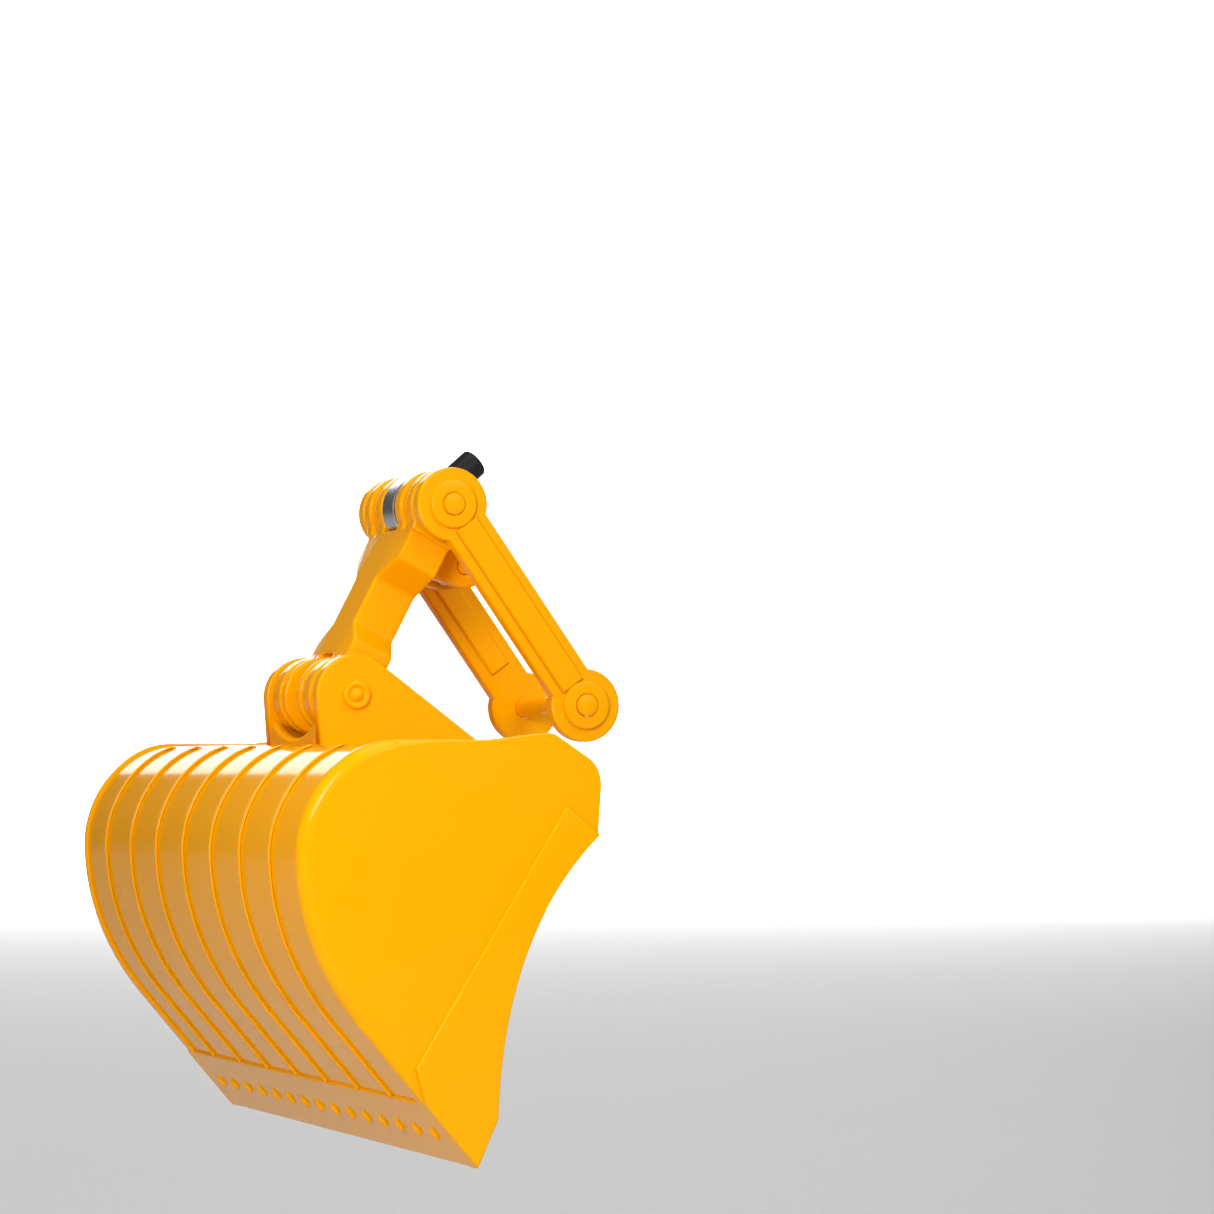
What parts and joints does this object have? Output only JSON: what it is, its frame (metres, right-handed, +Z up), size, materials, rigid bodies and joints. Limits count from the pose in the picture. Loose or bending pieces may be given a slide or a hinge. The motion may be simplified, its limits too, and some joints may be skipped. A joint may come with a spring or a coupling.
{
  "type": "excavator bucket",
  "caption": "Toy-scale excavator bucket with ribbed round back, side cutters, hinge ears, bucket link, tipping links and cylinder eye.",
  "frame": {"origin": "middle of the hinge pin that carries the bucket on its stick", "axes": "+X towards the machine, +Y along the pins to the bucket's right side, +Z up"},
  "size_m": [0.0584, 0.104, 0.0935],
  "materials": {
    "yellow_plastic": "glossy injection-moulded plastic",
    "black_plastic": "semi-gloss moulded plastic",
    "bright_metal": "bright plated rim"
  },
  "bodies": {
    "hinge": {"hinge_pin": "yellow_plastic"},
    "bucket": {"wrapper_shell": "yellow_plastic", "top_plate": "yellow_plastic", "mouth_beam": "yellow_plastic", "side_wall_left": "yellow_plastic", "side_wall_right": "yellow_plastic", "side_cutter_left": "yellow_plastic", "side_cutter_right": "yellow_plastic", "lip_plate": "yellow_plastic", "back_rib_1": "yellow_plastic", "back_rib_2": "yellow_plastic", "back_rib_3": "yellow_plastic", "back_rib_4": "yellow_plastic", "back_rib_5": "yellow_plastic", "back_rib_6": "yellow_plastic", "back_rib_7": "yellow_plastic", "hinge_ear_left": "yellow_plastic", "hinge_ear_right": "yellow_plastic", "hinge_bush_left": "yellow_plastic", "hinge_bush_right": "yellow_plastic", "ear_web": "yellow_plastic", "link_pin": "yellow_plastic", "link_pin_cap_left": "yellow_plastic", "link_pin_cap_right": "yellow_plastic"},
    "bucket_link": {"bucket_link_body": "yellow_plastic", "link_pin_spacer": "yellow_plastic", "lever_pin": "yellow_plastic"},
    "tipping_links": {"tipping_link_left": "yellow_plastic", "tipping_link_right": "yellow_plastic", "top_pin_collar_left": "yellow_plastic", "top_pin_collar_right": "yellow_plastic", "stick_pin_collar_left": "yellow_plastic", "stick_pin_collar_right": "yellow_plastic", "top_pin": "yellow_plastic", "stick_pin": "yellow_plastic"},
    "rod_end": {"rod_eye": "black_plastic", "rod_eye_rim": "bright_metal"},
    "lever_end": {"lever_eye": "black_plastic", "lever_eye_rim": "bright_metal"}
  },
  "joints": [
    {"name": "bucket_curl", "type": "hinge", "parent": "hinge", "child": "bucket", "pos_m": [0, 0, 0], "axis": [0, -1, 0], "range_deg": [-30, 90]},
    {"name": "link_swing", "type": "hinge", "parent": "bucket", "child": "bucket_link", "pos_m": [-0.0215, 0, 0.0142], "axis": [0, -1, 0], "range_deg": [-53, 18]},
    {"name": "tipping_swing", "type": "hinge", "parent": "bucket_link", "child": "tipping_links", "pos_m": [-0.008, 0, 0.04], "axis": [0, -1, 0], "range_deg": [-11, 32]},
    {"name": "rod_eye_swing", "type": "hinge", "parent": "bucket_link", "child": "rod_end", "pos_m": [-0.008, 0, 0.04], "axis": [0, -1, 0], "range_deg": [-38.5, 13]},
    {"name": "lever_eye_swing", "type": "hinge", "parent": "bucket_link", "child": "lever_end", "pos_m": [-0.0035, 0, 0.032], "axis": [0, -1, 0], "range_deg": [-28, 10]}
  ],
  "couplings": [
    {"joint": "link_swing", "follows": "bucket_curl", "ratio": -0.58},
    {"joint": "tipping_swing", "follows": "bucket_curl", "ratio": 0.35},
    {"joint": "rod_eye_swing", "follows": "bucket_curl", "ratio": -0.42},
    {"joint": "lever_eye_swing", "follows": "bucket_curl", "ratio": -0.3}
  ]
}
